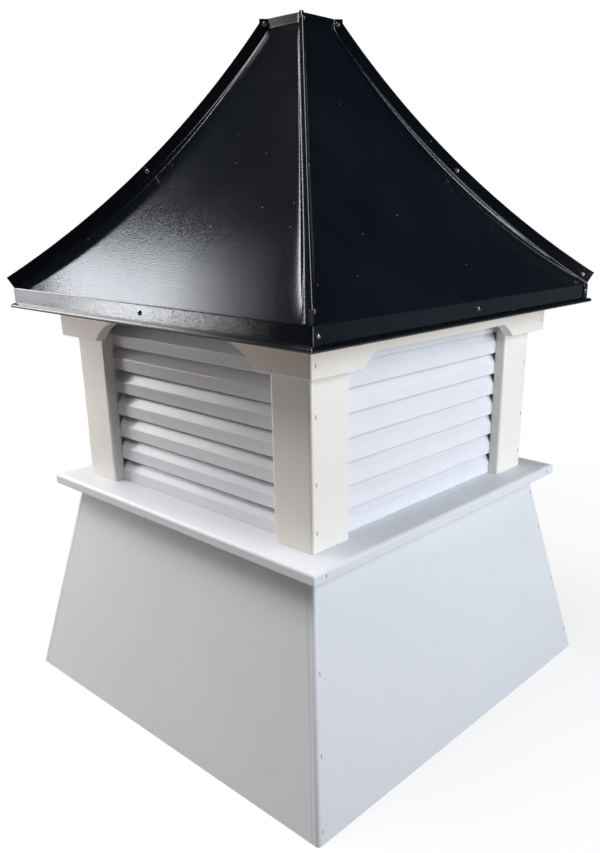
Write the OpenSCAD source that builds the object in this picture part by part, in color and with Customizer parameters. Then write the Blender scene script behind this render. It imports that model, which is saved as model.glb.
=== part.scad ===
// Roof cupola: flared base, mitred sill, four louvered sides and a curved sheet metal roof.
// Millimetres, +Z up, origin at the middle of the foot. -Y is the front, +X the right side.

/* [Lantern] */
// Width of the lantern over its posts
post_w = 570; // [500:1:640]
// Width of a post's face
post_face = 79; // [70:1:90]
// Height of the posts from the sill to the roof rails
post_h = 310; // [280:1:380]
// Thickness of all the trim boards
board_t = 19; // [16:0.5:22]
// Rounding of the posts' outer edges
post_r = 4.5; // [1:0.5:6]

/* [Base] */
// Width of the flared base at its foot
base_w = 762; // [680:1:840]
// Height of the base up to the sill
base_h = 377; // [300:1:450]
// Distance the base's top stands outside the posts
neck_out = 14; // [4:1:24]
// Thickness of the base sheets
panel_t = 12.7; // [10:0.1:16]
// Rounding of the base's leaning corners
corner_r = 6; // [2:0.5:8]

/* [Sill] */
// Overhang of the sill beyond the base's top
sill_over = 33; // [20:1:50]
// Reach of the sill inside the posts' backs
sill_in = 18; // [10:1:40]
// Rounding of the nose's upper edge
sill_top_r = 6; // [2:0.5:8]
// Rounding of the nose's lower edge
sill_low_r = 3; // [1:0.5:6]

/* [Headers] */
// Height of a header at its ends
header_h = 54; // [48:1:70]
// Radius of the cove on the right and left headers
side_cove_r = 75; // [60:1:110]
// Radius of the cove on the front and back headers
front_cove_r = 95; // [60:1:110]
// Slope at which a cove leaves the header's lower edge
cove_angle = 52; // [45:1:60]
// Rise of the right and left headers' middle above their ends
side_rise = 22; // [12:1:24]
// Rise of the front and back headers' middle above their ends
front_rise = 35; // [28:1:40]
// Distance from a post's inner edge to the start of the cove
cove_in = 10; // [2:1:15]
// Rounding of the headers' outer corners
header_r = 3; // [1:0.5:6]

/* [Louvers] */
// Spacing of the slats, rounded so that they fill the height
slat_pitch = 39; // [34:0.5:44]
// Room above the top slat's lower edge on the right and left sides
side_room = 51; // [40:1:60]
// Room above the top slat's lower edge on the front and back
front_room = 26.5; // [24:0.5:60]
// Height of a slat's upright lip
slat_lip = 20; // [16:0.5:24]
// Depth of a slat from its face to its upper edge
slat_depth = 16; // [12:1:24]
// Slope of a slat above the lip
slat_angle = 58; // [45:1:65]
// Thickness of a slat
slat_t = 3; // [2:0.5:4]
// Length of a slat's lap behind the post at each end
slat_lap = 3; // [2:1:12]

/* [Roof] */
// Overhang of the fascia beyond the headers
eave_out = 50; // [35:1:80]
// Height of the timber rails behind the fascia
rail_h = 25; // [20:1:35]
// Rise of the curved panel from the fascia to the collar
roof_rise = 395; // [320:1:460]
// Sag of the panel below a straight line
roof_sag = 22; // [12:1:40]
// Thickness of the roof sheet
sheet_t = 1.5; // [1:0.1:2]
// Reach of the drip lip
lip_out = 8; // [5:1:14]
// Fall of the drip lip over its reach
lip_fall = 3; // [1:0.5:6]
// Gap between a corner tab and the drip lip below it
lip_gap = 0.5; // [0.2:0.1:1]
// Height of the standing seams on the hips
seam_h = 15; // [10:1:20]
// Height of the hem folded back along a seam's edge
hem_h = 7; // [4:1:9]
// Width of the corner tabs
tab_w = 13; // [9:1:20]

/* [Collar] */
// Width of the collar at the top
collar_w = 76; // [60:1:100]
// Height of the collar's upright band
collar_h = 17; // [12:1:25]
// Reach of the seams beside the collar
collar_seam = 10; // [6:1:12]
// Thickness of the plate that closes the collar
cap_t = 3; // [2:0.5:5]
// Depth of the plate below the collar's rim
cap_drop = 4; // [2:0.5:6]

/* [Hidden] */

round_fn = 96;
post_x = post_w / 2;
back_x = post_x - board_t;
open_y = post_x - post_face;
foot_x = base_w / 2;
neck_x = post_x + neck_out;
panel_lean = atan((foot_x - neck_x) / base_h);
panel_x = panel_t / cos(panel_lean);
corner_lean = atan(sqrt(2) * tan(panel_lean));
corner_half = acos(sin(panel_lean) * sin(panel_lean)) / 2;
sill_x = neck_x + sill_over;
sill_z = base_h + board_t;
rail_z = sill_z + post_h;
rail_top = rail_z + rail_h;
header_x = post_x + board_t;
header_z = rail_z - header_h;
eave_x = header_x + eave_out;
rail_x = eave_x - sheet_t;
roof_z = rail_top + sheet_t;
collar_x = collar_w / 2;
collar_z = roof_z + roof_rise;
rim_z = collar_z + collar_h;
collar_hem = min(hem_h, collar_seam);
far = base_w + post_w;

// The panel's profile is an arc from the eave to the collar, hollow towards the outside.
chord_x = eave_x - collar_x;
chord = sqrt(chord_x * chord_x + roof_rise * roof_rise);
arc_r = (chord * chord / 4 + roof_sag * roof_sag) / (2 * roof_sag);
arc_x = (eave_x + collar_x) / 2 + (arc_r - roof_sag) * roof_rise / chord;
arc_z = (roof_z + collar_z) / 2 + (arc_r - roof_sag) * chord_x / chord;

white_paint = [0.91, 0.92, 0.90];
white_vinyl = [0.86, 0.88, 0.92];
timber = [0.75, 0.62, 0.45];
black_sheet = [0.07, 0.07, 0.08];

// A profile drawn in x and z, carried along y.
module along_y(length) {
    rotate([90, 0, 0]) linear_extrude(height = length, center = true) children();
}

// The quarter of the plan that faces +X, out to its diagonals.
module mitre_wedge(low, high) {
    translate([0, 0, low]) linear_extrude(height = high - low)
        polygon([[0, 0], [far, -far], [far, far]]);
}

// What rounding takes off a corner at the origin, with the board towards -x and -y.
module corner_cut(r) {
    translate([-r, -r]) difference() {
        square(2 * r);
        circle(r = r, $fn = round_fn);
    }
}

// Side pieces are drawn facing +X and turned to their own side.
module to_left() { rotate([0, 0, 180]) children(); }
module to_front() { rotate([0, 0, -90]) children(); }
module to_back() { rotate([0, 0, 90]) children(); }

module base_panel(inset) {
    intersection() {
        along_y(2 * far) polygon([[foot_x - panel_x, 0], [foot_x, 0],
            [neck_x, base_h], [neck_x - panel_x, base_h]]);
        rotate([0, 0, 90]) along_y(2 * far) polygon([[inset - foot_x, 0], [foot_x - inset, 0],
            [neck_x - inset, base_h], [inset - neck_x, base_h]]);
    }
}

// What rounding takes off the leaning corner between two outer faces of the base.
module leaning_cut() {
    axis_x = foot_x - corner_r / cos(panel_lean);
    reach = 3 * corner_r;
    translate([axis_x * sqrt(2), 0, 0]) rotate([0, -corner_lean, 0])
        linear_extrude(height = 4 * base_h, center = true) difference() {
            polygon([[0, 0], [reach * cos(corner_half), -reach * sin(corner_half)],
                [reach * cos(corner_half), reach * sin(corner_half)]]);
            circle(r = corner_r, $fn = round_fn);
        }
}

// Right and left panels run out to the corners; front and back ones stop at their backs.
module lapping_panel() {
    color(white_vinyl) difference() {
        base_panel(0);
        for (turn = [-45, 45]) rotate([0, 0, turn]) leaning_cut();
    }
}

module butting_panel() {
    color(white_vinyl) base_panel(panel_x);
}

module sill_profile() {
    inner_x = back_x - sill_in;
    difference() {
        translate([inner_x, base_h]) square([sill_x - inner_x, board_t]);
        translate([sill_x, sill_z]) corner_cut(sill_top_r);
        translate([sill_x, base_h]) mirror([0, 1]) corner_cut(sill_low_r);
    }
}

module sill_board_piece() {
    color(white_vinyl) intersection() {
        along_y(2 * far) sill_profile();
        mitre_wedge(0, sill_z + board_t);
    }
}

// Two boards meet at a corner in a mitre that the rounding runs across.
module post_board() {
    color(white_paint) translate([0, 0, sill_z]) linear_extrude(height = post_h) difference() {
        polygon([[back_x, -back_x], [post_x, -post_x], [post_x, -open_y], [back_x, -open_y]]);
        translate([post_x, -open_y]) corner_cut(post_r);
        translate([post_x, -post_x]) mirror([0, 1]) corner_cut(post_r);
    }
}

// The corner's other board, mirrored in the plane of the mitre.
module post_mate() { mirror([1, 1, 0]) post_board(); }

// A header's face: full depth at its ends, coved up to a thin web between the posts.
module header_face(cove_r, rise) {
    cut_y = open_y - cove_in;
    mid_y = cut_y - cove_r * sin(cove_angle);
    low_z = header_z - cove_r * cos(cove_angle);
    top_z = min(header_z + rise, low_z + 0.995 * cove_r);
    difference() {
        translate([-header_x, header_z]) square([2 * header_x, header_h]);
        intersection() {
            translate([-cut_y, low_z]) square([2 * cut_y, top_z - low_z]);
            union() {
                for (side = [-1, 1]) translate([side * mid_y, low_z])
                    circle(r = cove_r, $fn = round_fn);
                translate([-mid_y, low_z]) square([2 * mid_y, cove_r]);
            }
        }
    }
}

module header_board(cove_r, rise) {
    color(white_paint) intersection() {
        difference() {
            translate([post_x, 0, 0]) rotate([90, 0, 90]) linear_extrude(height = board_t)
                header_face(cove_r, rise);
            for (side = [0, 1]) mirror([0, side]) translate([header_x, header_x, 0])
                linear_extrude(height = 2 * rail_z) corner_cut(header_r);
        }
        mitre_wedge(0, 2 * rail_z);
    }
}

// One slat: an upright lip with a slope rising inwards from its top.
module slat_profile() {
    rise = tan(slat_angle);
    skin = slat_t / cos(slat_angle);
    polygon([[back_x, 0], [back_x, slat_lip],
        [back_x - slat_depth, slat_lip + slat_depth * rise],
        [back_x - slat_depth, slat_lip + slat_depth * rise - skin],
        [back_x - slat_t, slat_lip + slat_t * rise - skin],
        [back_x - slat_t, 0]]);
}

// Slats from the sill up, evenly spaced to leave the stated room above the last one.
module louver_bank(room) {
    steps = round((post_h - room) / slat_pitch);
    color(white_vinyl) for (i = [0 : steps])
        translate([0, 0, sill_z + i * (post_h - room) / steps])
            along_y(2 * (open_y + slat_lap)) slat_profile();
}

module rail(half_length) {
    color(timber) translate([back_x, -half_length, rail_z])
        cube([rail_x - back_x, 2 * half_length, rail_h]);
}

// Sector of the arc's plane that holds the panel, from the eave to the collar.
module arc_sector() {
    reach = 1.2;
    polygon([[arc_x, arc_z],
        [arc_x + reach * (eave_x - arc_x), arc_z + reach * (roof_z - arc_z)],
        [arc_x + reach * (collar_x - arc_x), arc_z + reach * (collar_z - arc_z)]]);
}

module arc_band(inner_r, outer_r) {
    intersection() {
        translate([arc_x, arc_z]) difference() {
            circle(r = outer_r, $fn = round_fn);
            circle(r = inner_r, $fn = round_fn);
        }
        arc_sector();
    }
}

module roof_sheet() {
    arc_band(arc_r, arc_r + sheet_t);
    translate([rail_x, rail_top]) square(sheet_t);
    polygon([[rail_x, rail_z], [eave_x + lip_out, rail_z - lip_fall],
        [eave_x + lip_out, rail_z - lip_fall + sheet_t], [eave_x, rail_z + sheet_t],
        [rail_x, rail_z + sheet_t]]);
    translate([collar_x - sheet_t, collar_z - sheet_t]) square([sheet_t, collar_h + sheet_t]);
}

module seam_sheet() {
    arc_band(arc_r - seam_h, arc_r + sheet_t);
    translate([collar_x - sheet_t, collar_z - sheet_t])
        square([collar_seam + sheet_t, collar_h + sheet_t]);
}

// The fold that doubles the sheet along the outer edge of a seam.
module hem_sheet() {
    arc_band(arc_r - seam_h, arc_r - seam_h + hem_h);
    translate([collar_x + collar_seam - collar_hem, collar_z]) square([collar_hem, collar_h]);
}

// The two strips just inside the panel's diagonals, as thick as this many sheets.
module hip_strips(sheets) {
    across = sheets * sheet_t * sqrt(2);
    translate([0, 0, rail_top]) linear_extrude(height = far) for (side = [0, 1]) mirror([0, side])
        polygon([[0, 0], [far, far], [far, far - across], [across, 0]]);
}

// A panel with its fascia; a lapping fascia runs on around both corners as a tab.
module roof_panel(lapping) {
    color(black_sheet) union() {
        intersection() {
            along_y(2 * far) roof_sheet();
            mitre_wedge(0, 2 * far);
        }
        intersection() {
            along_y(2 * far) seam_sheet();
            hip_strips(1);
        }
        intersection() {
            along_y(2 * far) hem_sheet();
            hip_strips(2);
        }
        translate([rail_x, -rail_x, rail_z + sheet_t])
            cube([sheet_t, 2 * rail_x, roof_z - rail_z - sheet_t]);
        translate([rail_x, -rail_x, rail_z + sheet_t / 2]) cube([sheet_t, 2 * rail_x, sheet_t]);
        if (lapping) {
            lap_y = eave_x + sheet_t;
            tab_z = rail_z + sheet_t + lip_gap;
            tab_h = rail_top - tab_z;
            translate([rail_x, -lap_y, tab_z]) cube([sheet_t, 2 * lap_y, tab_h]);
            for (side = [0, 1]) mirror([0, side])
                translate([eave_x - tab_w, eave_x, tab_z]) cube([tab_w, sheet_t, tab_h]);
        }
    }
}

module roof_cap() {
    inside = collar_x - sheet_t;
    color(black_sheet) translate([-inside, -inside, rim_z - cap_drop - cap_t])
        cube([2 * inside, 2 * inside, cap_t]);
}

lapping_panel();  // base_right
to_left() lapping_panel();  // base_left
to_front() butting_panel();  // base_front
to_back() butting_panel();  // base_back
sill_board_piece();  // sill_right
to_left() sill_board_piece();  // sill_left
to_front() sill_board_piece();  // sill_front
to_back() sill_board_piece();  // sill_back
post_board();  // post_fr_x
post_mate();  // post_fr_y
mirror([0, 1, 0]) post_board();  // post_br_x
mirror([0, 1, 0]) post_mate();  // post_br_y
to_left() post_board();  // post_bl_x
to_left() post_mate();  // post_bl_y
mirror([1, 0, 0]) post_board();  // post_fl_x
mirror([1, 0, 0]) post_mate();  // post_fl_y
header_board(side_cove_r, side_rise);  // header_right
to_left() header_board(side_cove_r, side_rise);  // header_left
to_front() header_board(front_cove_r, front_rise);  // header_front
to_back() header_board(front_cove_r, front_rise);  // header_back
louver_bank(side_room);  // louver_right
to_left() louver_bank(side_room);  // louver_left
to_front() louver_bank(front_room);  // louver_front
to_back() louver_bank(front_room);  // louver_back
rail(rail_x);  // rail_right
to_left() rail(rail_x);  // rail_left
to_front() rail(back_x);  // rail_front
to_back() rail(back_x);  // rail_back
roof_panel(false);  // roof_right
to_left() roof_panel(false);  // roof_left
to_front() roof_panel(true);  // roof_front
to_back() roof_panel(true);  // roof_back
roof_cap();
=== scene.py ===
import math

import bmesh
import bpy
import numpy as np
from mathutils import Matrix


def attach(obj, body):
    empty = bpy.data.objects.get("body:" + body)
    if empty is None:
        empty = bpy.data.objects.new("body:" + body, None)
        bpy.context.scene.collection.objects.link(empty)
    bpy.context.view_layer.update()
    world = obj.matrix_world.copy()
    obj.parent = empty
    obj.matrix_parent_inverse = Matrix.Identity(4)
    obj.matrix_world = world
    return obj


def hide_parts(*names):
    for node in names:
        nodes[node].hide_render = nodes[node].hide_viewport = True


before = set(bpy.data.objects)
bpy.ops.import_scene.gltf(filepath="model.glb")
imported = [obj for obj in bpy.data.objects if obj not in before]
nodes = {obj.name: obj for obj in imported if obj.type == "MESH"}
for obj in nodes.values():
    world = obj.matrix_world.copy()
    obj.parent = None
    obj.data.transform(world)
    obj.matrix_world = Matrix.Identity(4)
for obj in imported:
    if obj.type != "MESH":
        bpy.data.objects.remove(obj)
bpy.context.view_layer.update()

# A vented roof cupola: flared white base, louvered lantern, black sheet-steel hip roof.
# Sizes in the dictionaries are millimetres unless a note says otherwise.
scene = bpy.context.scene
scene.view_settings.view_transform = "Standard"
mm = 0.001
mergeWithin = 0.002 * mm  # points closer than this become one
sides = {"right": 0, "back": 1, "left": 2, "front": 3}  # quarter turns from the +X side
print("frame loaded with", len(nodes), "nodes")


def linearColour(hexCode):
    # each sRGB channel is put back on a straight scale
    srgb = np.array([int(hexCode[i:i + 2], 16) for i in (1, 3, 5)]) / 255
    straight = np.where(srgb <= 0.04045, srgb / 12.92, ((srgb + 0.055) / 1.055) ** 2.4)
    return (*straight.tolist(), 1.0)


def addNode(tree, kind, inputs=None, **settings):
    node = tree.nodes.new(kind)
    for name, value in settings.items():
        setattr(node, name, value)
    for socket, value in (inputs or {}).items():
        if isinstance(value, bpy.types.NodeSocket):
            tree.links.new(value, node.inputs[socket])
        else:
            node.inputs[socket].default_value = value
    return node


def newMaterial(name):
    material = bpy.data.materials.new(name)
    material.use_nodes = True
    tree = material.node_tree
    tree.nodes.clear()
    shader = addNode(tree, "ShaderNodeBsdfPrincipled")
    addNode(tree, "ShaderNodeOutputMaterial", {"Surface": shader.outputs[0]})
    coords = addNode(tree, "ShaderNodeTexCoord").outputs["Object"]
    return material, tree, shader, coords


def perMetre(sizeInMm):
    # a noise texture's scale that gives features of about this size
    return 1 / (sizeInMm * mm)


# Rigid PVC, extruded: a white skin with a low sheen, cloudy by a few per cent, with faint die
# lines along the extrusion and a little grey dust rubbed into the skin.
pvcFinishes = {
    "vinyl_sheet": dict(name="extrudedVinylSheet", light="#E3E7EB", dark="#DCE1E6", dust="#BEC0C4",
                        roughness=0.42, index=1.53, cloud=140, lineAcross=9, lineAlong=260,
                        peel=7, peelDepth=0.05),
    "trim_board": dict(name="cellularPvcBoard", light="#F5F3EC", dark="#EBE8E0", dust="#C9C4BC",
                       roughness=0.30, index=1.53, cloud=110, lineAcross=7, lineAlong=240,
                       peel=5, peelDepth=0.02),
    "louver_vinyl": dict(name="extrudedPvcSlat", light="#EBEDF1", dark="#E0E3E9", dust="#BFC1C6",
                         roughness=0.18, index=1.40, cloud=90, lineAcross=2.4, lineAlong=320,
                         peel=6, peelDepth=0.04),
}
pvcSkin = dict(dustPatch=55, dustFrom=0.56, dustFull=0.82, dustMost=0.16, glossFrom=0.3, glossFull=0.7,
               glossLess=0.01, glossMore=0.02, relief=0.4)


def pvcMaterial(finish, skin):
    material, tree, shader, coords = newMaterial(finish["name"])
    cloud = addNode(tree, "ShaderNodeTexNoise", {"Vector": coords, "Scale": perMetre(finish["cloud"]),
                                                 "Detail": 4.0, "Roughness": 0.55})
    tone = addNode(tree, "ShaderNodeMix", {0: cloud.outputs["Fac"], 6: linearColour(finish["dark"]),
                                           7: linearColour(finish["light"])}, data_type="RGBA")
    # die lines: noise drawn out level, so it runs along every slat and board course
    stretch = addNode(tree, "ShaderNodeMapping", {
        "Vector": coords, "Scale": (perMetre(finish["lineAlong"]), perMetre(finish["lineAlong"]),
                                    perMetre(finish["lineAcross"]))})
    lines = addNode(tree, "ShaderNodeTexNoise", {"Vector": stretch.outputs[0], "Scale": 1.0, "Detail": 3.0})
    # rubbed dust: a coarse noise that only shows at its peaks
    rubbed = addNode(tree, "ShaderNodeTexNoise", {"Vector": coords, "Scale": perMetre(skin["dustPatch"]),
                                                  "Detail": 8.0, "Roughness": 0.72})
    peaks = addNode(tree, "ShaderNodeMapRange", {"Value": rubbed.outputs["Fac"], "From Min": skin["dustFrom"],
                                                 "From Max": skin["dustFull"], "To Min": 0.0,
                                                 "To Max": skin["dustMost"]})
    dusted = addNode(tree, "ShaderNodeMix", {0: peaks.outputs[0], 6: tone.outputs[2],
                                             7: linearColour(finish["dust"])}, data_type="RGBA")
    tree.links.new(dusted.outputs[2], shader.inputs["Base Color"])
    gloss = addNode(tree, "ShaderNodeMapRange", {"Value": lines.outputs["Fac"], "From Min": skin["glossFrom"],
                                                 "From Max": skin["glossFull"],
                                                 "To Min": finish["roughness"] - skin["glossLess"],
                                                 "To Max": finish["roughness"] + skin["glossMore"]})
    tree.links.new(gloss.outputs[0], shader.inputs["Roughness"])
    peel = addNode(tree, "ShaderNodeTexNoise", {"Vector": coords, "Scale": perMetre(finish["peel"]),
                                                "Detail": 2.0})
    relief = addNode(tree, "ShaderNodeMath", {0: peel.outputs["Fac"], 1: lines.outputs["Fac"]},
                     operation="ADD")
    bump = addNode(tree, "ShaderNodeBump", {"Height": relief.outputs[0], "Strength": finish["peelDepth"],
                                            "Distance": skin["relief"] * mm})
    tree.links.new(bump.outputs[0], shader.inputs["Normal"])
    shader.inputs["IOR"].default_value = finish["index"]
    return material


# Coil-coated steel, stove black: a deep gloss broken by a fine leather grain, so lamps spread into
# a grainy glow; a thin film of pale dust and a few specks lie on it.
steelFinish = dict(colour="#070A0F", film="#16191E", speck="#5E6064", roughness=0.10, index=1.55,
                   filmPatch=170, filmFrom=0.45, filmFull=0.8, filmMost=0.5, filmDulls=0.02,
                   speckPitch=26, speckSize=0.045, speckAbove=0.62,
                   grain=1.9, grainDepth=0.15, fasciaGrain=0.2, relief=0.5, eaveZ=732.5, eaveBlend=2,
                   backRoughness=0.8, backFrom=-0.05, backFull=-0.3)
screwLook = dict(colour="#15161A", roughness=0.12, index=2.3, grain=1.2, grainDepth=0.05)


def steelMaterial(name, finish):
    material, tree, shader, coords = newMaterial(name)
    patch = addNode(tree, "ShaderNodeTexNoise", {"Vector": coords, "Scale": perMetre(finish["filmPatch"]),
                                                 "Detail": 5.0, "Roughness": 0.6})
    film = addNode(tree, "ShaderNodeMapRange", {"Value": patch.outputs["Fac"], "From Min": finish["filmFrom"],
                                                "From Max": finish["filmFull"], "To Min": 0.0,
                                                "To Max": finish["filmMost"]})
    tone = addNode(tree, "ShaderNodeMix", {0: film.outputs[0], 6: linearColour(finish["colour"]),
                                           7: linearColour(finish["film"])}, data_type="RGBA")
    # specks: the middles of scattered cells, only in those with a high random value of their own
    cells = addNode(tree, "ShaderNodeTexVoronoi", {"Vector": coords,
                                                   "Scale": perMetre(finish["speckPitch"])})
    near = addNode(tree, "ShaderNodeMath", {0: cells.outputs["Distance"], 1: finish["speckSize"]},
                   operation="LESS_THAN")
    allowed = addNode(tree, "ShaderNodeMath", {0: cells.outputs["Color"], 1: finish["speckAbove"]},
                      operation="GREATER_THAN")
    speck = addNode(tree, "ShaderNodeMath", {0: near.outputs[0], 1: allowed.outputs[0]},
                    operation="MULTIPLY")
    colour = addNode(tree, "ShaderNodeMix", {0: speck.outputs[0], 6: tone.outputs[2],
                                             7: linearColour(finish["speck"])}, data_type="RGBA")
    tree.links.new(colour.outputs[2], shader.inputs["Base Color"])
    dull = addNode(tree, "ShaderNodeMapRange", {"Value": patch.outputs["Fac"], "From Min": 0.3,
                                                "From Max": 0.75, "To Min": finish["roughness"],
                                                "To Max": finish["roughness"] + finish["filmDulls"]})
    # the sheet's back has only a dull primer, seen on faces that look down
    normal = addNode(tree, "ShaderNodeNewGeometry").outputs["Normal"]
    facing = addNode(tree, "ShaderNodeSeparateXYZ", {0: normal}).outputs["Z"]
    under = addNode(tree, "ShaderNodeMapRange", {"Value": facing, "From Min": finish["backFrom"],
                                                 "From Max": finish["backFull"], "To Min": 0.0,
                                                 "To Max": 1.0})
    gloss = addNode(tree, "ShaderNodeMix", {0: under.outputs[0], 2: dull.outputs[0],
                                            3: finish["backRoughness"]})
    tree.links.new(gloss.outputs[0], shader.inputs["Roughness"])
    # the real grain is about 1 mm across; drawn coarser so that it shows at this picture size
    grain = addNode(tree, "ShaderNodeTexNoise", {"Vector": coords, "Scale": perMetre(finish["grain"]),
                                                 "Detail": 0.0})
    height = addNode(tree, "ShaderNodeSeparateXYZ", {0: coords}).outputs["Z"]
    # the film is stretched at the eave bend, so the fascia below it is grainier than the panel
    strength = addNode(tree, "ShaderNodeMapRange", {
        "Value": height, "From Min": (finish["eaveZ"] + finish["eaveBlend"]) * mm,
        "From Max": (finish["eaveZ"] - finish["eaveBlend"]) * mm,
        "To Min": finish["grainDepth"], "To Max": finish["fasciaGrain"]})
    bump = addNode(tree, "ShaderNodeBump", {"Height": grain.outputs["Fac"], "Strength": strength.outputs[0],
                                            "Distance": finish["relief"] * mm})
    tree.links.new(bump.outputs[0], shader.inputs["Normal"])
    shader.inputs["IOR"].default_value = finish["index"]
    return material


# Zinc-coated staple wire: dull grey metal, slightly blotched.
wireFinish = dict(light="#8F9296", dark="#5F6266", roughness=0.42, metal=0.85, blotch=1.5)


def wireMaterial(finish):
    material, tree, shader, coords = newMaterial("zincStapleWire")
    blotch = addNode(tree, "ShaderNodeTexNoise", {"Vector": coords, "Scale": perMetre(finish["blotch"]),
                                                  "Detail": 2.0})
    tone = addNode(tree, "ShaderNodeMix", {0: blotch.outputs["Fac"], 6: linearColour(finish["dark"]),
                                           7: linearColour(finish["light"])}, data_type="RGBA")
    tree.links.new(tone.outputs[2], shader.inputs["Base Color"])
    shader.inputs["Metallic"].default_value = finish["metal"]
    shader.inputs["Roughness"].default_value = finish["roughness"]
    return material


# Sawn spruce: pale yellow wood with straight grain lines along the rail and a rough saw finish.
timberFinish = dict(early="#D9BC8C", late="#B08A57", ring=6, drawnOut=0.35, ringFrom=0.4, ringFull=0.62,
                    roughness=0.72, saw=1.8, sawDepth=0.35, relief=0.6)


def timberMaterial(finish):
    material, tree, shader, coords = newMaterial("sawnSpruce")
    across = perMetre(finish["ring"])
    level = across * finish["drawnOut"]
    stretch = addNode(tree, "ShaderNodeMapping", {"Vector": coords, "Scale": (level, level, across)})
    rings = addNode(tree, "ShaderNodeTexNoise", {"Vector": stretch.outputs[0], "Scale": 0.6, "Detail": 6.0,
                                                 "Distortion": 0.8})
    edge = addNode(tree, "ShaderNodeMapRange", {"Value": rings.outputs["Fac"], "From Min": finish["ringFrom"],
                                                "From Max": finish["ringFull"]})
    tone = addNode(tree, "ShaderNodeMix", {0: edge.outputs[0], 6: linearColour(finish["early"]),
                                           7: linearColour(finish["late"])}, data_type="RGBA")
    tree.links.new(tone.outputs[2], shader.inputs["Base Color"])
    saw = addNode(tree, "ShaderNodeTexNoise", {"Vector": coords, "Scale": perMetre(finish["saw"]),
                                               "Detail": 4.0})
    bump = addNode(tree, "ShaderNodeBump", {"Height": saw.outputs["Fac"], "Strength": finish["sawDepth"],
                                            "Distance": finish["relief"] * mm})
    tree.links.new(bump.outputs[0], shader.inputs["Normal"])
    shader.inputs["Roughness"].default_value = finish["roughness"]
    return material


finishes = {slotName: pvcMaterial(finish, pvcSkin) for slotName, finish in pvcFinishes.items()}
finishes["black_sheet"] = steelMaterial("stoveBlackCoilSteel", steelFinish)
finishes["timber"] = timberMaterial(timberFinish)
screwFinish = steelMaterial("blackPaintedScrewHead", {**steelFinish, **screwLook})
wireFinishMaterial = wireMaterial(wireFinish)
print("materials made:", len(finishes) + 2)


def turned(points, quarterTurns):
    # quarter turns about +Z, exact
    cosine, sine = [(1, 0), (0, 1), (-1, 0), (0, -1)][quarterTurns % 4]
    x, y, z = points[..., 0], points[..., 1], points[..., 2]
    return np.stack([cosine * x - sine * y, sine * x + cosine * y, z], axis=-1)


def gridQuads(rows, columns, closed, start):
    # each quad joins two neighbouring rows and columns; a closed grid joins its last column to its first
    row = np.arange(rows - 1)[:, None]
    column = np.arange(columns if closed else columns - 1)[None, :]
    following = (column + 1) % columns
    quads = np.stack([row * columns + column, row * columns + following,
                      (row + 1) * columns + following, (row + 1) * columns + column], axis=-1)
    return quads.reshape(-1, 4) + start


def addPiece(name, grids, material, replaced=(), solid=False):
    # grids are (rows, columns, 3) arrays in mm, each with a mark that says whether it closes on itself
    points, quads, start = [], [], 0
    for grid, closed in grids:
        rows, columns = grid.shape[:2]
        points.append(grid.reshape(-1, 3) * mm)
        quads.append(gridQuads(rows, columns, closed, start))
        start += rows * columns
    mesh = bpy.data.meshes.new(name)
    mesh.from_pydata(np.concatenate(points).tolist(), [], np.concatenate(quads).tolist())
    shape = bmesh.new()
    shape.from_mesh(mesh)
    bmesh.ops.remove_doubles(shape, verts=shape.verts, dist=mergeWithin)
    bmesh.ops.dissolve_degenerate(shape, edges=shape.edges, dist=mergeWithin)
    if solid:
        bmesh.ops.recalc_face_normals(shape, faces=shape.faces)
    for edge in shape.edges:  # a sheet's cut edges stay sharp
        edge.smooth = not edge.is_boundary
    shape.to_mesh(mesh)
    shape.free()
    mesh.polygons.foreach_set("use_smooth", np.ones(len(mesh.polygons), dtype=bool))
    mesh.materials.append(material)
    piece = bpy.data.objects.new(name, mesh)
    scene.collection.objects.link(piece)
    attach(piece, "root")
    if replaced:
        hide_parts(*replaced)
    return piece


def easedBezier(start, corner, end, count):
    # quadratic curve from start to end that is drawn towards the corner
    t = np.linspace(0, 1, count)[:, None]
    return (1 - t) ** 2 * np.array(start) + 2 * t * (1 - t) * np.array(corner) + t ** 2 * np.array(end)


# Boards: each sawn edge is slightly eased, so it catches a line of light; mitred joints stay sharp.
boardEdges = {"base": 0.8, "sill": 0.5, "post": 0.8, "header": 2.0}
boardEasing = dict(flatWithin=1, sharpAbove=50, mitreWithin=0.1, segments=3)  # two angles in degrees, then mm


def easedBoard(nodeName, width, material):
    # a merged copy of the board with its flat faces made whole; edges that turn by more than about half
    # a right angle are cut back to a narrow round, unless both ends lie in a corner's mitre plane
    mesh = nodes[nodeName].data.copy()
    mesh.name = nodeName + "_eased"
    shape = bmesh.new()
    shape.from_mesh(mesh)
    bmesh.ops.remove_doubles(shape, verts=shape.verts, dist=mergeWithin)
    bmesh.ops.dissolve_limit(shape, angle_limit=math.radians(boardEasing["flatWithin"]),
                             verts=shape.verts, edges=shape.edges)
    sharp, mitre = math.radians(boardEasing["sharpAbove"]), boardEasing["mitreWithin"] * mm
    eased = [edge for edge in shape.edges
             if edge.is_manifold and edge.calc_face_angle() > sharp
             and not all(abs(abs(end.co.x) - abs(end.co.y)) < mitre for end in edge.verts)]
    bmesh.ops.bevel(shape, geom=eased, offset=width * mm, offset_type="OFFSET", affect="EDGES",
                    segments=boardEasing["segments"], profile=0.5, clamp_overlap=True)
    shape.to_mesh(mesh)
    shape.free()
    mesh.materials.clear()
    mesh.materials.append(material)
    board = bpy.data.objects.new(nodeName + "_eased", mesh)
    scene.collection.objects.link(board)
    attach(board, "root")
    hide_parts(nodeName)


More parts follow.
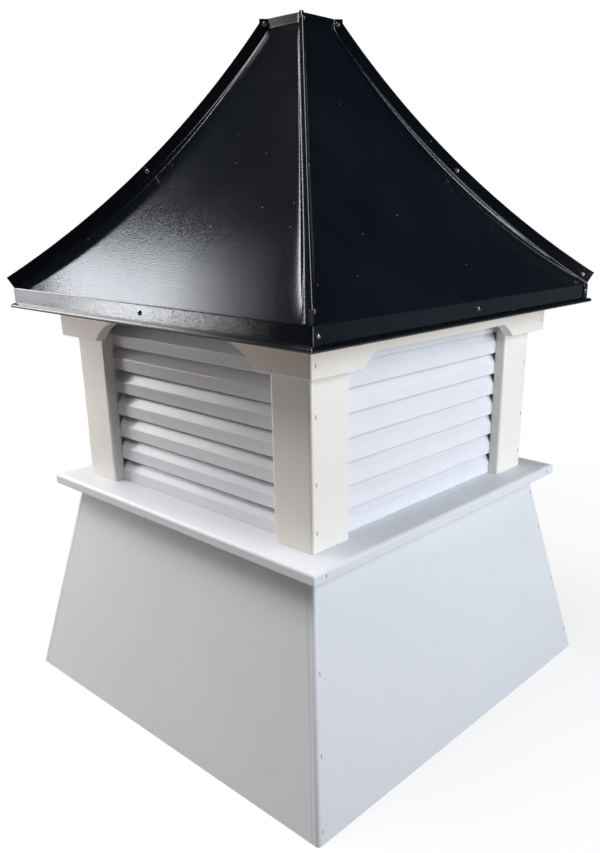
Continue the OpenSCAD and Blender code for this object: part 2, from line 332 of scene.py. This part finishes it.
slotOf = {"base": "vinyl_sheet", "sill": "vinyl_sheet", "post": "trim_board", "header": "trim_board",
          "louver": "louver_vinyl", "rail": "timber", "roof": "black_sheet"}
for nodeName, node in nodes.items():
    family = nodeName.split("_")[0]
    material = finishes[slotOf[family]]
    if not node.material_slots:
        node.data.materials.append(material)
    for materialSlot in node.material_slots:
        materialSlot.material = material
    if family in boardEdges:
        easedBoard(nodeName, boardEdges[family], material)
print("boards eased")


# Louver slats: an extruded strip with a bend between its upright lip and its slope.
slatSizes = dict(face=266, lip=20, depth=16, angle=58, thickness=3, bend=1.0, halfLength=209, foot=396,
                 count=8, span={"right": 259, "left": 259, "front": 283.5, "back": 283.5})


def slatOutline(size):
    # the strip's middle line runs up the lip, round the bend and up the slope; half the thickness is
    # set off to both sides, and closes as a half circle at the two ends
    half = size["thickness"] / 2
    slope = math.radians(size["angle"])
    up = np.array([-math.cos(slope), math.sin(slope)])
    cornerZ = size["lip"] - half * math.tan(math.pi / 4 - slope / 2)
    corner = np.array([size["face"] - half, cornerZ])
    foot, bend = np.array([size["face"] - half, 0.0]), size["bend"]
    top = corner + up * ((size["depth"] - half) / math.cos(slope))
    line = np.concatenate([np.linspace(foot, foot + [0, half], 6)[:-1],
                           np.linspace(foot + [0, half], corner - [0, bend], 5)[:-1],
                           easedBezier(corner - [0, bend], corner, corner + up * bend, 7)[:-1],
                           np.linspace(corner + up * bend, top - up * half, 7)[:-1],
                           np.linspace(top - up * half, top, 6)])
    tangent = np.gradient(line, axis=0)
    tangent /= np.linalg.norm(tangent, axis=1)[:, None]
    out = np.stack([tangent[:, 1], -tangent[:, 0]], axis=1)
    run = np.concatenate([[0], np.cumsum(np.linalg.norm(np.diff(line, axis=0), axis=1))])
    toEnd = np.minimum(run, run[-1] - run).clip(0, half)
    width = np.sqrt((half ** 2 - (half - toEnd) ** 2).clip(0))[:, None]
    return line + out * width, line - out * width


def slatGrids(size, span):
    outer, inner = slatOutline(size)
    loop = np.concatenate([outer, inner[::-1][1:-1]])
    grids = []
    for rise in np.linspace(0, span, size["count"]):
        along = np.array([-size["halfLength"], size["halfLength"]])
        wall = np.empty((2, len(loop), 3))
        wall[..., 0], wall[..., 2] = loop[:, 0], loop[:, 1] + size["foot"] + rise
        wall[..., 1] = along[:, None]
        grids.append((wall, True))
        for y in along:  # each end is closed between the two sides of the strip
            cap = np.empty((2, len(outer), 3))
            cap[0, :, 0], cap[0, :, 2] = outer[:, 0], outer[:, 1] + size["foot"] + rise
            cap[1, :, 0], cap[1, :, 2] = inner[:, 0], inner[:, 1] + size["foot"] + rise
            cap[..., 1] = y
            grids.append((cap, False))
    return grids


for side, turns in sides.items():
    bank = [(turned(grid, turns), closed) for grid, closed in slatGrids(slatSizes, slatSizes["span"][side])]
    slats = addPiece("louver_slats_" + side, bank, finishes["louver_vinyl"],
                     ["louver_" + side], solid=True)
    slats.data.polygons.foreach_set("use_smooth", np.zeros(len(slats.data.polygons), dtype=bool))
print("louver slats made")


# Roof: one formed sheet a side, hollow towards the outside, bent down over the eave rail.
roofSizes = dict(eave=354, eaveZ=732.5, collar=38, collarZ=1127.5, rimZ=1144.5, sag=22, sheet=1.5,
                 railZ=706, lipOut=8, lipFall=3, seam=18, seamMore=4.5, seamTip=10, seamGap=0.5,
                 fillet=2.2, nearFillet=4, flare=2.5, hem=2.8, hemTall=6, tab=13, tabGap=0.5,
                 oilCan=0.03, bow=6, bowSkew=1.72, bowEdge=48, eaveBend=0.8, lipBend=2, dripHem=1.4,
                 hipGap=0.2, arcSteps=84, rimSteps=8, panelColumns=73, eaveColumns=41)
# the waviness: radians down and across the panel for three waves, two shifts and the last wave's share
oilCanWaves = dict(down=(7.1, 3.1, 13.7), across=(2.3, 4.3, 5.2), shift=(0.7, 1.1), share=0.6)
rootTwo = math.sqrt(2)


def roofArc(size):
    # circle through the eave and the collar whose bow from the chord is the sag; its middle is outside
    run, rise = size["eave"] - size["collar"], size["collarZ"] - size["eaveZ"]
    chord = math.hypot(run, rise)
    radius = (chord ** 2 / 4 + size["sag"] ** 2) / (2 * size["sag"])
    middle = np.array([(size["eave"] + size["collar"]) / 2 + (radius - size["sag"]) * rise / chord,
                       (size["eaveZ"] + size["collarZ"]) / 2 + (radius - size["sag"]) * run / chord])
    return middle, radius


def seamLines(size):
    # foot and tip of the standing seam, from the collar rim down the arc to the eave
    count, joint = size["arcSteps"], size["rimSteps"]
    middle, radius = roofArc(size)
    ends = [np.array([size["collar"], size["collarZ"]]), np.array([size["eave"], size["eaveZ"]])]
    angles = [math.atan2(end[1] - middle[1], end[0] - middle[0]) for end in ends]
    sweep = np.linspace(angles[0], angles[1], count)
    inward = np.stack([np.cos(sweep), np.sin(sweep)], axis=1)
    arcFoot = middle + radius * inward
    # the seam stands square to the hip, which is the arc stretched by root two along the diagonal
    run, fall = np.gradient(arcFoot, axis=0).T
    square = np.stack([-fall / rootTwo, rootTwo * run], axis=1) / np.hypot(rootTwo * run, fall)[:, None]
    grown = size["seam"] + size["seamMore"] * np.linspace(0, 1, count)[:, None] ** 3
    arcTip = arcFoot + grown * square
    t = np.linspace(0, 1, joint + 1)[:-1, None]
    rimFoot = np.array([size["collar"], size["rimZ"]])
    rimTip = np.array([size["collar"] + size["seamTip"], size["rimZ"]])
    foot = np.concatenate([(1 - t) * rimFoot + t * arcFoot[0], arcFoot])
    tip = np.concatenate([(1 - t) * rimTip + t * arcTip[0], arcTip])
    # the bend under the collar is eased: each point near it is the mean of five along the line
    eased = foot.copy()
    eased[joint - 2:joint + 3] = sum(foot[joint + i - 2:joint + i + 3] for i in range(-2, 3)) / 5
    return eased, tip


def panelGrids(size, nearFillet):
    foot, tip = seamLines(size)
    setBack = (size["sheet"] + size["seamGap"] / 2) * rootTwo
    hip = np.stack([foot[:, 0], foot[:, 0] - setBack, foot[:, 1]], axis=1)
    seamTop = np.stack([tip[:, 0], tip[:, 0] - setBack, tip[:, 1]], axis=1)
    rise = seamTop - hip

    def bentStrip(fillet, flare):
        # where the bend leaves the panel, and the strip from there up the seam; the bend opens out over
        # its last stretch, down at the eave
        opened = fillet * (1 + flare * np.linspace(0, 1, len(foot)) ** 8)
        reach = np.minimum(opened, 0.45 * (foot[:, 0] - setBack))[:, None]
        onPanel = hip - reach * np.array([0, 1.0, 0])
        onSeam = hip + rise * (np.minimum(reach, 0.45 * size["seam"])
                               / np.linalg.norm(rise, axis=1)[:, None])
        t = np.linspace(0, 1, 9)[None, :, None]
        bend = (1 - t) ** 2 * onPanel[:, None] + 2 * t * (1 - t) * hip[:, None] + t ** 2 * onSeam[:, None]
        s = np.linspace(0, 1, 6)[None, :, None]
        upright = (1 - s) * onSeam[:, None] + s * seamTop[:, None]
        return onPanel, np.concatenate([bend, upright[:, 1:]], axis=1)

    onRight, rightStrip = bentStrip(nearFillet, size["flare"] if nearFillet > size["fillet"] else 0)
    onLeft, leftStrip = bentStrip(size["fillet"], 0)
    # panel between the two bends, with a shallow waviness that dies out at its edges
    columns = np.linspace(-math.pi / 2, math.pi / 2, size["panelColumns"])
    across = np.sin(columns)  # closer together towards the hips
    panel = np.repeat(onRight[:, None, :], len(across), axis=1)
    panel[..., 1] = (onRight[:, 1:2] * (1 + across) - onLeft[:, 1:2] * (1 - across)) / 2
    down = np.linspace(0, 1, len(foot))[:, None]
    d, a, shift = oilCanWaves["down"], oilCanWaves["across"], oilCanWaves["shift"]
    wave = (np.sin(d[0] * down + a[0] * across) * np.cos(a[1] * across - d[1] * down + shift[0])
            + oilCanWaves["share"] * np.sin(d[2] * down - a[2] * across + shift[1]))
    wave = wave * size["oilCan"] * (1 - across ** 8) * (4 * down * (1 - down)).clip(0, 1)
    # the panel also bows in between rim and eave, a sine of the height drawn towards the eave, level
    # across the panel and dying out at the hips
    fallen = ((size["rimZ"] - foot[:, 1:]) / (size["rimZ"] - size["eaveZ"])).clip(0, 1)
    bow = size["bow"] * np.sin(math.pi * fallen ** size["bowSkew"])
    wave = wave - bow * (1 - across ** size["bowEdge"])
    slope = np.gradient(foot, axis=0)
    slope /= np.linalg.norm(slope, axis=1)[:, None]
    panel[..., 0] += wave * -slope[:, 1:2]
    panel[..., 2] += wave * slope[:, 0:1]
    grids = [panel, rightStrip, (leftStrip * np.array([1, -1, 1]))[:, ::-1]]
    return grids, seamTop, rise


def eaveProfile(size):
    # from the panel's last millimetre round the eave bend, down the fascia, out along the drip lip and
    # round its hem, a half circle turned under
    foot, _ = seamLines(size)
    eave = np.array([size["eave"], size["eaveZ"]])
    upSlope = (foot[-2] - foot[-1]) / np.linalg.norm(foot[-2] - foot[-1])
    lipBend = np.array([size["eave"], size["railZ"] + size["sheet"]])
    lipEnd = np.array([size["eave"] + size["lipOut"], size["railZ"] - size["lipFall"] + size["sheet"]])
    along = (lipEnd - lipBend) / np.linalg.norm(lipEnd - lipBend)
    bend, lower, hem = size["eaveBend"], size["lipBend"], size["dripHem"]
    under = np.array([along[1], -along[0]])
    turn = np.linspace(0, math.pi, 9)[:, None]
    return np.concatenate([easedBezier(eave + bend * upSlope, eave, eave - [0, bend], 8),
                           np.linspace(eave - [0, bend + 0.3], lipBend + [0, lower + 0.3], 4),
                           easedBezier(lipBend + [0, lower], lipBend, lipBend + lower * along, 7),
                           np.linspace(lipBend + lower * along, lipEnd - hem * along, 3)[1:-1],
                           lipEnd + hem * (under - under * np.cos(turn) + along * (np.sin(turn) - 1))])


def eaveGrid(size):
    # the profile carried along the eave: the fascia ends inside the corner, the lip on its mitre
    profile = eaveProfile(size)
    mitre = profile[:, 0] - size["hipGap"]
    onFascia = profile[:, 1] > size["railZ"] + size["lipBend"] + 0.5
    halfLength = np.minimum(np.where(onFascia, size["eave"] - size["sheet"], mitre), mitre)
    across = np.linspace(-1, 1, size["eaveColumns"])
    grid = np.empty((len(profile), len(across), 3))
    grid[..., 0], grid[..., 2] = profile[:, :1], profile[:, 1:]
    grid[..., 1] = halfLength[:, None] * across
    return grid


def tabGrids(size):
    # the fascia's end turned round the corner: a plan line with an eased bend, carried up the fascia
    face, back = size["eave"], size["eave"] - size["sheet"]
    outside = size["eave"] + size["sheet"]
    plan = np.concatenate([[[face, back], [face, outside - 0.6]],
                           easedBezier([face, outside - 0.3], [face, outside], [face - 0.3, outside], 7),
                           [[face - 0.6, outside], [face - size["tab"], outside]]])
    heights = np.linspace(size["railZ"] + size["sheet"] + size["tabGap"], size["eaveZ"] - 0.4, 4)
    grid = np.empty((len(plan), len(heights), 3))
    grid[..., 0], grid[..., 1] = plan[:, :1], plan[:, 1:]
    grid[..., 2] = heights
    mirrored = (grid * np.array([1, -1, 1]))[:, ::-1]
    return [grid, mirrored]


def seamEndGrids(top, rise):
    # the seam's lower end is folded shut: a strip from one of its two sheets to the other, which is the
    # same edge with x and y exchanged
    edge = np.stack([top, top - rise])
    grid = np.stack([edge, edge[:, [1, 0, 2]]], axis=1)
    return [grid, (grid * np.array([1, -1, 1]))[:, ::-1]]


def hemGrids(size, seamTop, rise):
    # each seam's edge is folded back on itself: a bead, flat-sided and round on top, carried along the edge
    upward = rise / np.linalg.norm(rise, axis=1)[:, None]
    sideways = np.array([1, -1, 0]) / rootTwo
    half = size["hem"] / 2
    turn = np.linspace(0, math.pi, 9)
    crest = np.stack([half * np.cos(turn), half * np.sin(turn)], axis=1)
    outline = np.concatenate([[[half, -size["hemTall"]]], crest, [[-half, -size["hemTall"]]]])
    shift = half - size["sheet"]
    bead = (seamTop[:, None] + sideways * (outline[:, 0] + shift)[None, :, None]
            + upward[:, None] * (outline[:, 1] - half)[None, :, None])
    ends = [np.repeat(bead[i:i + 1].mean(axis=1, keepdims=True), bead.shape[1], axis=1) for i in (0, -1)]
    bead = np.concatenate([ends[0], bead, ends[1]])
    return [bead, bead * np.array([1, -1, 1])]


def addRoofSide(side, turns, size):
    grids, seamTop, rise = panelGrids(size, size["nearFillet" if side == "front" else "fillet"])
    grids.append(eaveGrid(size))
    if side in ("front", "back"):
        grids += tabGrids(size) + seamEndGrids(seamTop[-1], rise[-1])
    sheet = addPiece("roof_sheet_" + side, [(turned(grid, turns), False) for grid in grids],
                     finishes["black_sheet"], ["roof_" + side])
    wall = sheet.modifiers.new("sheetThickness", "SOLIDIFY")
    wall.thickness = size["sheet"] * mm
    wall.offset = -1
    wall.use_rim = True
    addPiece("roof_hems_" + side, [(turned(grid, turns), True) for grid in hemGrids(size, seamTop, rise)],
             finishes["black_sheet"], solid=True)


for side, turns in sides.items():
    addRoofSide(side, turns, roofSizes)
print("roof panels formed")


# Hex washer-head screws, painted black: along the fascia, on the corner tabs and through the seams.
screwSizes = dict(washer=4.9, washerTall=1.5, flats=6.8, head=3.9, dome=0.5)


def screwGrid(size):
    # radius against height round the head; the hexagon's radius is half its flats over the cosine of the
    # angle from the nearest flat
    apothem = size["flats"] / 2
    rounds = np.array([(size["washer"], -0.2), (size["washer"], 0.1 * size["washerTall"]),
                       (size["washer"] - 0.2, 0.25 * size["washerTall"]),
                       (apothem + 0.3, size["washerTall"])])
    hexes = np.array([(apothem, size["washerTall"] + 0.1), (apothem, size["head"] - 1.1),
                      (apothem - 0.8, size["head"] - 0.1), (apothem - 1.3, size["head"])])
    centre = np.array([(0.3 * apothem, size["head"] + 0.8 * size["dome"]),
                       (0.0, size["head"] + size["dome"])])
    profile = np.concatenate([[(0.0, -0.2)], rounds, hexes, centre])
    isHex = np.repeat([0, 1, 0], [1 + len(rounds), len(hexes), len(centre)])[:, None]
    angle = np.linspace(0, 2 * math.pi, 37)[:-1]
    fromFlat = (angle + math.pi / 6) % (math.pi / 3) - math.pi / 6
    radius = profile[:, :1] * (1 - isHex + isHex / np.cos(fromFlat)[None, :])
    height = np.repeat(profile[:, 1:], len(angle), axis=1)
    return np.stack([radius * np.cos(angle), radius * np.sin(angle), height], axis=-1)


def placed(grid, spot, normal, upward=(0, 0, 1)):
    # the grid's own z goes along the normal, its x as near upward as it can
    z = np.array(normal, float) / np.linalg.norm(normal)
    x = np.array(upward, float) - np.dot(upward, z) * z
    x /= np.linalg.norm(x)
    return np.array(spot, float) + grid[..., :1] * x + grid[..., 1:2] * np.cross(z, x) + grid[..., 2:] * z


def seamSpot(size, share):
    # a point on the seam's panel-side face, this share of the way from the collar rim to the eave
    foot, tip = seamLines(size)
    index = int(share * (len(foot) - 1))
    x, z = foot[index] + screwPlaces["seamUp"] * (tip[index] - foot[index])
    return np.array([x, x - (size["sheet"] + size["seamGap"] / 2) * rootTwo, z])


# shares of the way down a seam, the share of its height, and which of a side's two seams have heads
screwPlaces = dict(tabIn=8, fasciaZ=720.5, fasciaShift={"front": 12, "right": 2, "back": -6, "left": 4},
                   seamShares={"right": (0.06, 0.56, 0.985), "back": (), "left": (0.06, 0.56, 0.985),
                               "front": (0.06, 0.56)}, seamUp=0.42,
                   seamEnds={"right": (1, -1), "back": (), "left": (-1,), "front": (-1,)})
head = screwGrid(screwSizes)
screwGrids = []
for side, turns in sides.items():
    fasciaSpot = (roofSizes["eave"], screwPlaces["fasciaShift"][side], screwPlaces["fasciaZ"])
    screwGrids.append((turned(placed(head, fasciaSpot, (1, 0, 0)), turns), True))
    if side in ("right", "left"):  # heads on these two sides hold the other sides' tabs
        for end in (1, -1):
            tabSpot = (roofSizes["eave"] + roofSizes["sheet"],
                       end * (roofSizes["eave"] - screwPlaces["tabIn"]), screwPlaces["fasciaZ"])
            screwGrids.append((turned(placed(head, tabSpot, (1, 0, 0)), turns), True))
    for end in screwPlaces["seamEnds"][side]:
        for share in screwPlaces["seamShares"][side]:
            seamHead = placed(head, seamSpot(roofSizes, share), (1, -1, 0))
            screwGrids.append((turned(seamHead * np.array([1, end, 1]), turns), True))
addPiece("roof_screws", screwGrids, screwFinish, solid=True)
print("screws set:", len(screwGrids))


# Staples: wire crowns left flush along the lapping boards' edges.
stapleSizes = dict(crown=6.0, wire=0.6, proud=0.15, bend=0.9, sunk=1.0)  # wire is its radius


def stapleGrid(size):
    # a round wire carried over the crown: level between its legs, turned down into the board at both ends
    half, r, top, leg = size["crown"] / 2, size["wire"], size["proud"], -size["sunk"]
    flat = half - size["bend"]
    path = np.concatenate([easedBezier([-half, leg], [-half, top], [-flat, top], 5),
                           easedBezier([flat, top], [half, top], [half, leg], 5)])
    tangent = np.gradient(path, axis=0)
    tangent /= np.linalg.norm(tangent, axis=1)[:, None]
    normal = np.stack([-tangent[:, 1], tangent[:, 0]], axis=1)
    angle = np.linspace(0, 2 * math.pi, 9)[:-1]
    grid = np.empty((len(path), len(angle), 3))
    grid[..., 0] = path[:, :1] + normal[:, :1] * r * np.sin(angle)
    grid[..., 2] = path[:, 1:] + normal[:, 1:] * r * np.sin(angle)
    grid[..., 1] = r * np.cos(angle)
    ends = [np.repeat(grid[i:i + 1].mean(axis=1, keepdims=True), len(angle), axis=1) for i in (0, -1)]
    return np.concatenate([ends[0], grid, ends[1]])


# faces the staples lie on, as distances from the axis; heights of the staples and their tilts in degrees
boardFaces = dict(foot=381, neck=299, baseTall=377, sill=332, post=285, header=304)
staplePlaces = dict(base=(19, 124, 237), baseFar=(44, 159, 271, 342), post=(427, 499, 596), header=671,
                    sill=387, tilts=(18, 3, 0, -4), fromEdge=9, sillFromEdge=24)


def stapleGrids(size, faces, places):
    # a crown at each listed height, set in from both upright edges; the base's lie on its leaning face
    crown = stapleGrid(size)
    lean = (faces["foot"] - faces["neck"]) / faces["baseTall"]
    outward, level = np.array([1, 0, lean]), (1, 0, 0)
    grids = []

    def setCrown(turns, face, end, fromEdge, z, normal, upward):
        grids.append(turned(placed(crown, (face, end * (face - fromEdge), z), normal, upward), turns))

    for turns in (0, 2):  # only the right and left boards lap the others
        for end, heights in ((-1, places["base"]), (1, places["baseFar"])):
            for z, tilt in zip(heights, places["tilts"]):
                slant = (-lean, math.tan(math.radians(tilt)), 1)
                setCrown(turns, faces["foot"] - lean * z, end, places["fromEdge"], z, outward, slant)
            for z, tilt in zip(places["post"], places["tilts"][1:]):
                slant = (0, math.tan(math.radians(tilt)), 1)
                setCrown(turns, faces["post"], end, places["fromEdge"], z, level, slant)
            setCrown(turns, faces["header"], end, places["fromEdge"], places["header"], level, (0, 0, 1))
            setCrown(turns, faces["sill"], end, places["sillFromEdge"], places["sill"], level, (0, 0, 1))
    return grids


staples = stapleGrids(stapleSizes, boardFaces, staplePlaces)
addPiece("staples", [(grid, True) for grid in staples], wireFinishMaterial, solid=True)
print("staples set:", len(staples))


# Studio: a pale paper sweep behind the object, soft boxes and a dim room.
studio = dict(front=2.6, floorBack=3.0, bend=0.8, wall=2.4, halfWidth=2.6, turn=42.4, floorHex="#F4F4F5",
              bounceHex="#6A625C", glowNear=0.72, glowFar=1.0, nearRadius=0.45, farRadius=1.6,
              roomHex="#8E97A3", roomStrength=0.09)


def sweepGrid(size):
    # a profile carried straight across the view: level floor, quarter-circle bend, upright wall
    quarter = np.linspace(0, math.pi / 2, 17)
    profile = np.concatenate([[(-size["front"], 0.0)],
                              np.stack([size["floorBack"] + size["bend"] * np.sin(quarter),
                                        size["bend"] * (1 - np.cos(quarter))], axis=1),
                              [(size["floorBack"] + size["bend"], size["wall"])]])
    across = np.linspace(-size["halfWidth"], size["halfWidth"], 9)
    turn = math.radians(size["turn"])
    grid = np.empty((len(profile), len(across), 3))
    grid[..., 0] = across * math.cos(turn) - profile[:, :1] * math.sin(turn)
    grid[..., 1] = across * math.sin(turn) + profile[:, :1] * math.cos(turn)
    grid[..., 2] = profile[:, 1:]
    return grid / mm


def sweepMaterial(size):
    # matt paper: looked at directly or in a gloss it is near white, and its bounce is a soft grey
    material = bpy.data.materials.new("mattPaperSweep")
    material.use_nodes = True
    tree = material.node_tree
    tree.nodes.clear()
    path = addNode(tree, "ShaderNodeLightPath")
    seen = addNode(tree, "ShaderNodeMath", {0: path.outputs["Is Camera Ray"],
                                            1: path.outputs["Is Glossy Ray"]}, operation="MAXIMUM")
    seen = addNode(tree, "ShaderNodeMath", {0: seen.outputs[0], 1: path.outputs["Is Transmission Ray"]},
                   operation="MAXIMUM")
    tone = addNode(tree, "ShaderNodeMix", {0: seen.outputs[0], 6: linearColour(size["bounceHex"]),
                                           7: linearColour(size["floorHex"])}, data_type="RGBA")
    paint = addNode(tree, "ShaderNodeBsdfDiffuse", {"Color": tone.outputs[2]})
    glow = addNode(tree, "ShaderNodeEmission", {"Color": (1, 1, 1, 1), "Strength": 1.0})
    # the glow grows with the distance from the object, so the floor keeps its shadow and the wall is white
    coords = addNode(tree, "ShaderNodeTexCoord").outputs["Object"]
    distance = addNode(tree, "ShaderNodeVectorMath", {0: coords}, operation="LENGTH")
    growth = addNode(tree, "ShaderNodeMapRange", {
        "Value": distance.outputs["Value"], "From Min": size["nearRadius"], "From Max": size["farRadius"],
        "To Min": size["glowNear"], "To Max": size["glowFar"]})
    share = addNode(tree, "ShaderNodeMath", {0: seen.outputs[0], 1: growth.outputs[0]},
                    operation="MULTIPLY")
    mixed = addNode(tree, "ShaderNodeMixShader", {0: share.outputs[0], 1: paint.outputs[0],
                                                  2: glow.outputs[0]})
    addNode(tree, "ShaderNodeOutputMaterial", {"Surface": mixed.outputs[0]})
    return material


sweepMesh = bpy.data.meshes.new("studio_sweep")
sweepShape = sweepGrid(studio)
sweepMesh.from_pydata((sweepShape.reshape(-1, 3) * mm).tolist(), [],
                      gridQuads(sweepShape.shape[0], sweepShape.shape[1], False, 0).tolist())
sweepMesh.polygons.foreach_set("use_smooth", np.ones(len(sweepMesh.polygons), dtype=bool))
sweepMesh.materials.append(sweepMaterial(studio))
sweep = bpy.data.objects.new("studio_sweep", sweepMesh)
scene.collection.objects.link(sweep)

world = bpy.data.worlds.new("dimRoom")
scene.world = world
world.use_nodes = True
world.node_tree.nodes["Background"].inputs["Color"].default_value = linearColour(studio["roomHex"])
world.node_tree.nodes["Background"].inputs["Strength"].default_value = studio["roomStrength"]

# soft boxes: place, aim and size in metres, power in watts, lean in degrees; one without an aim looks level
# along x, towards the object's middle plane
softBoxes = {
    "skyLow": dict(place=(-5, 0.155, 3.985), size=(0.97, 1.27), power=28.5, hex="#F6F9FF"),
    "skyEdge": dict(place=(-5, -0.455, 3.985), size=(0.25, 1.27), power=0.6, hex="#F6F9FF"),
    "skyMiddle": dict(place=(-5, 0.155, 4.82), size=(0.97, 0.4), power=4.2, hex="#F6F9FF"),
    "skyHigh": dict(place=(-5, 0.155, 5.285), size=(0.97, 0.53), power=2.0, hex="#F6F9FF"),
    "doorBright": dict(place=(-1.75, -0.91, 1.5), size=(0.58, 0.9), power=16.8, hex="#FCF7F8"),
    "doorMiddle": dict(place=(-1.75, -1.35, 1.55), size=(0.30, 1.0), power=6, hex="#FCF7F8"),
    "doorDim": dict(place=(-1.75, -1.68, 1.55), size=(0.36, 1.0), power=1.6, hex="#FCF7F8"),
    "doorLow": dict(place=(-1.75, -0.95, 0.83), size=(0.7, 0.32), power=4.4, hex="#FCF7F8"),
    "lowCard": dict(place=(-1.75, -0.425, 0.23), size=(1.65, 0.37), power=6.9, hex="#FFF6F2"),
    "eaveCard": dict(place=(-1.75, -1.14, 0.566), size=(0.32, 0.13), power=0.6, lean=-12, hex="#F4F7FA"),
    "eaveBright": dict(place=(-1.75, -1.535, 0.48), size=(0.43, 0.13), power=2.4, lean=-12, hex="#F4F7FA"),
    "eaveCardDim": dict(place=(-1.75, -1.88, 0.408), size=(0.26, 0.13), power=0.7, lean=-12, hex="#F4F7FA"),
    "rightSky": dict(place=(2.05, 0.33, 0.85), size=(1.26, 1.1), power=26.5, hex="#F5F8FF"),
    "rightHigh": dict(place=(2.05, -0.1, 1.83), size=(0.5, 0.85), power=13, hex="#F5F8FF"),
    "rightFar": dict(place=(2.05, 0.9, 1.83), size=(0.5, 0.85), power=11, hex="#F5F8FF"),
    "backCard": dict(place=(1.5, 1.5, 0.47), aim=(1.5, 0, 0.47), size=(1.4, 0.45), power=0.4, hex="#C9E6EA"),
    "overhead": dict(place=(-0.35, -0.84, 2.7), aim=(0, 0, 0.4), size=(1.8, 1.5), power=66, hex="#FFFAF9"),
}


def aimed(place, aim, lean):
    # a lamp's own -Z looks from its place to its aim, with its x level or leaning by some degrees
    back = np.array(place) - np.array(aim)
    back /= np.linalg.norm(back)
    across = np.cross((0, 0, 1), back)
    across /= np.linalg.norm(across)
    up = np.cross(back, across)
    c, s = math.cos(math.radians(lean)), math.sin(math.radians(lean))
    matrix = np.identity(4)
    matrix[:3, 0], matrix[:3, 1] = c * across + s * up, c * up - s * across
    matrix[:3, 2], matrix[:3, 3] = back, place
    return Matrix(matrix.tolist())


for name, box in softBoxes.items():
    lamp = bpy.data.lights.new(name, "AREA")
    lamp.shape = "RECTANGLE"
    lamp.size, lamp.size_y = box["size"]
    lamp.energy = box["power"]
    lamp.color = linearColour(box["hex"])[:3]
    lampObject = bpy.data.objects.new(name, lamp)
    aim = box.get("aim", (0, *box["place"][1:]))
    lampObject.matrix_world = aimed(box["place"], aim, box.get("lean", 0))
    lampObject.visible_camera = False
    scene.collection.objects.link(lampObject)
print("studio lit")

# Camera at the photograph's place: turn and tilt in degrees, lens and shift for a 600 by 853 picture.
view = dict(place=(1.0183, -1.0447, 0.8663), turn=42.381, tilt=19.209, roll=-0.275, focal=810.3,
            centre=(333.5, 487.3), width=600, height=853, sensor=36)
turn, tilt, roll = (math.radians(view[key]) for key in ("turn", "tilt", "roll"))
backward = np.array([math.sin(turn) * math.cos(tilt), -math.cos(turn) * math.cos(tilt), math.sin(tilt)])
levelRight = np.array([math.cos(turn), math.sin(turn), 0])
rightward = math.cos(roll) * levelRight + math.sin(roll) * np.cross(backward, levelRight)
cameraMatrix = np.identity(4)
cameraMatrix[:3, 0], cameraMatrix[:3, 1] = rightward, np.cross(backward, rightward)
cameraMatrix[:3, 2], cameraMatrix[:3, 3] = backward, view["place"]
lens = bpy.data.cameras.new("photoCamera")
lens.sensor_fit = "VERTICAL"
lens.sensor_height = view["sensor"]
lens.lens = view["focal"] * view["sensor"] / view["height"]
lens.shift_x = (view["width"] / 2 - view["centre"][0]) / view["height"]
lens.shift_y = (view["centre"][1] - view["height"] / 2) / view["height"]
cameraObject = bpy.data.objects.new("photoCamera", lens)
cameraObject.matrix_world = Matrix(cameraMatrix.tolist())
scene.collection.objects.link(cameraObject)
scene.camera = cameraObject
print("camera placed")
